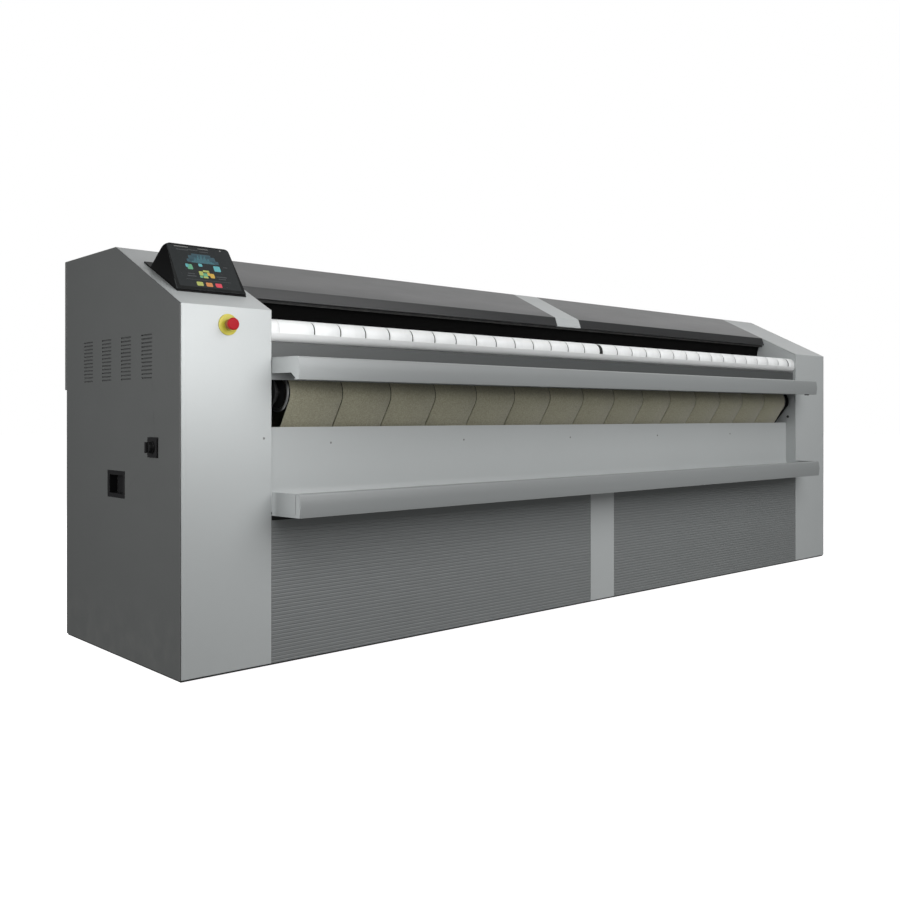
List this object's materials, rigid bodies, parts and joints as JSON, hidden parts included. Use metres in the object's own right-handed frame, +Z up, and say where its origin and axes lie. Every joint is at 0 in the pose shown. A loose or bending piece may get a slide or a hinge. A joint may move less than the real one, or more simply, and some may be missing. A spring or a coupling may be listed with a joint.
{
  "type": "flatwork ironer",
  "caption": "Floor-standing flatwork ironer: heated cylinder wrapped by felt belts between two cabinets, with feed belts, hood, front return tray and sloping control console.",
  "frame": {"origin": "centre of the bounding box's footprint, on the floor under the levelling feet", "axes": "+X across the machine to the right as the operator faces it, +Y from the operator's side to the back, +Z up"},
  "size_m": [4.23, 1.156, 1.445],
  "materials": {
    "light_grey_paint": "fine textured powder coat",
    "dark_grey_paint": "fine textured powder coat",
    "mid_grey_paint": "fine textured powder coat",
    "white_paint": "smooth satin coat",
    "white_belt": "smooth coated belting",
    "olive_felt": "needle felt",
    "black_plastic": "fine grain",
    "black_steel": "satin black",
    "screen_glass": "gloss",
    "yellow_plastic": "satin",
    "red_plastic": "satin",
    "bright_steel": "ground and polished",
    "frame_steel": "galvanised",
    "cast_iron": "painted casting"
  },
  "bodies": {
    "machine": {"cable_gland": "black_plastic", "console_housing": "black_plastic", "console_screen": "screen_glass", "cylinder_bearing_left": "cast_iron", "cylinder_bearing_right": "cast_iron", "drive_chain": "black_steel", "emergency_stop_base": "yellow_plastic", "exhaust_fan_case": "frame_steel", "feed_bed": "frame_steel", "feed_belts_left": "white_belt", "feed_belts_right": "white_belt", "feed_fascia": "dark_grey_paint", "feed_nose_guard": "white_paint", "feed_table_lip": "light_grey_paint", "front_beam": "frame_steel", "front_centre_post": "light_grey_paint", "front_panel_left": "dark_grey_paint", "front_panel_right": "dark_grey_paint", "gearmotor": "cast_iron", "heater_tube": "cast_iron", "hood_centre_strip": "light_grey_paint", "hood_left": "mid_grey_paint", "hood_right": "mid_grey_paint", "ironing_belts": "olive_felt", "left_front_cover": "light_grey_paint", "left_roll_bracket": "black_steel", "left_side_cover": "dark_grey_paint", "left_side_frame": "light_grey_paint", "levelling_foot_left_front": "bright_steel", "levelling_foot_left_rear": "bright_steel", "levelling_foot_right_front": "bright_steel", "levelling_foot_right_rear": "bright_steel", "main_switch_base": "black_plastic", "rear_beam": "frame_steel", "rear_lower_cover": "dark_grey_paint", "rear_upper_cover": "dark_grey_paint", "recess_handle": "black_plastic", "return_tray": "light_grey_paint", "right_front_cover": "light_grey_paint", "right_roll_bracket": "black_steel", "right_side_cover": "dark_grey_paint", "right_side_frame": "light_grey_paint", "top_beam": "frame_steel"},
    "cylinder": {"cylinder_shell": "bright_steel", "cylinder_flange_left": "cast_iron", "cylinder_flange_right": "cast_iron", "cylinder_sprocket": "bright_steel"},
    "front_roll": {"front_roll": "black_steel"},
    "lower_roll": {"lower_roll": "bright_steel"},
    "rear_lower_roll": {"rear_lower_roll": "bright_steel"},
    "rear_upper_roll": {"rear_upper_roll": "bright_steel"},
    "entry_roll": {"entry_roll": "bright_steel"},
    "feed_front_roll": {"feed_front_roll": "bright_steel"},
    "feed_rear_roll": {"feed_rear_roll": "bright_steel"},
    "motor_sprocket": {"motor_sprocket": "bright_steel"},
    "fan_impeller": {"fan_impeller": "bright_steel"},
    "finger_guard": {"finger_guard": "black_steel"},
    "emergency_stop_stem": {"emergency_stop_stem": "red_plastic"},
    "emergency_stop_head": {"emergency_stop_head": "red_plastic"},
    "main_switch_knob": {"main_switch_knob": "black_plastic"}
  },
  "joints": [
    {"name": "cylinder_spin", "type": "hinge", "parent": "machine", "child": "cylinder", "pos_m": [0.015, 0.13599, 1.02], "axis": [1, 0, 0], "continuous": true},
    {"name": "front_roll_spin", "type": "hinge", "parent": "machine", "child": "front_roll", "pos_m": [0.015, -0.33405, 0.93203], "axis": [1, 0, 0], "continuous": true},
    {"name": "lower_roll_spin", "type": "hinge", "parent": "machine", "child": "lower_roll", "pos_m": [0.015, -0.13098, 0.57796], "axis": [1, 0, 0], "continuous": true},
    {"name": "rear_lower_roll_spin", "type": "hinge", "parent": "machine", "child": "rear_lower_roll", "pos_m": [0.015, 0.43599, 0.62], "axis": [1, 0, 0], "continuous": true},
    {"name": "rear_upper_roll_spin", "type": "hinge", "parent": "machine", "child": "rear_upper_roll", "pos_m": [0.015, 0.43601, 1.30002], "axis": [1, 0, 0], "continuous": true},
    {"name": "entry_roll_spin", "type": "hinge", "parent": "machine", "child": "entry_roll", "pos_m": [0.015, -0.04902, 1.29], "axis": [1, 0, 0], "continuous": true},
    {"name": "feed_front_roll_spin", "type": "hinge", "parent": "machine", "child": "feed_front_roll", "pos_m": [0.015, -0.37901, 1.1436], "axis": [1, 0, 0], "continuous": true},
    {"name": "feed_rear_roll_spin", "type": "hinge", "parent": "machine", "child": "feed_rear_roll", "pos_m": [0.015, -0.12403, 1.152], "axis": [1, 0, 0], "continuous": true},
    {"name": "motor_sprocket_spin", "type": "hinge", "parent": "machine", "child": "motor_sprocket", "pos_m": [0.015, -0.00401, 0.545], "axis": [1, 0, 0], "continuous": true},
    {"name": "fan_spin", "type": "hinge", "parent": "machine", "child": "fan_impeller", "pos_m": [0.015, 0.32099, 1.24501], "axis": [1, 0, 0], "continuous": true},
    {"name": "finger_guard_swing", "type": "hinge", "parent": "machine", "child": "finger_guard", "pos_m": [0.015, -0.18401, 1.2615], "axis": [1, 0, 0], "range_deg": [0, 15]},
    {"name": "emergency_stop_press", "type": "slide", "parent": "machine", "child": "emergency_stop_stem", "axis": [0, 1, 0], "range_m": [0, 0.006], "stiffness_N_per_m": 1200, "springref_m": -0.003},
    {"name": "emergency_stop_twist", "type": "hinge", "parent": "emergency_stop_stem", "child": "emergency_stop_head", "pos_m": [-1.916, -0.44401, 1.14802], "axis": [0, 1, 0], "range_deg": [0, 30], "stiffness_Nm_per_rad": 0.3, "springref_deg": -5.73},
    {"name": "main_switch_turn", "type": "hinge", "parent": "machine", "child": "main_switch_knob", "pos_m": [-2.085, -0.23701, 0.745], "axis": [1, 0, 0], "range_deg": [0, 90]}
  ],
  "couplings": [
    {"joint": "front_roll_spin", "follows": "cylinder_spin", "ratio": -3.6715},
    {"joint": "lower_roll_spin", "follows": "cylinder_spin", "ratio": -5.4086},
    {"joint": "rear_lower_roll_spin", "follows": "cylinder_spin", "ratio": -6.0602},
    {"joint": "rear_upper_roll_spin", "follows": "cylinder_spin", "ratio": -6.0602},
    {"joint": "entry_roll_spin", "follows": "cylinder_spin", "ratio": -7.9841},
    {"joint": "feed_front_roll_spin", "follows": "cylinder_spin", "ratio": 6.7517},
    {"joint": "feed_rear_roll_spin", "follows": "cylinder_spin", "ratio": 8.048},
    {"joint": "motor_sprocket_spin", "follows": "cylinder_spin", "ratio": 3.3846}
  ]
}
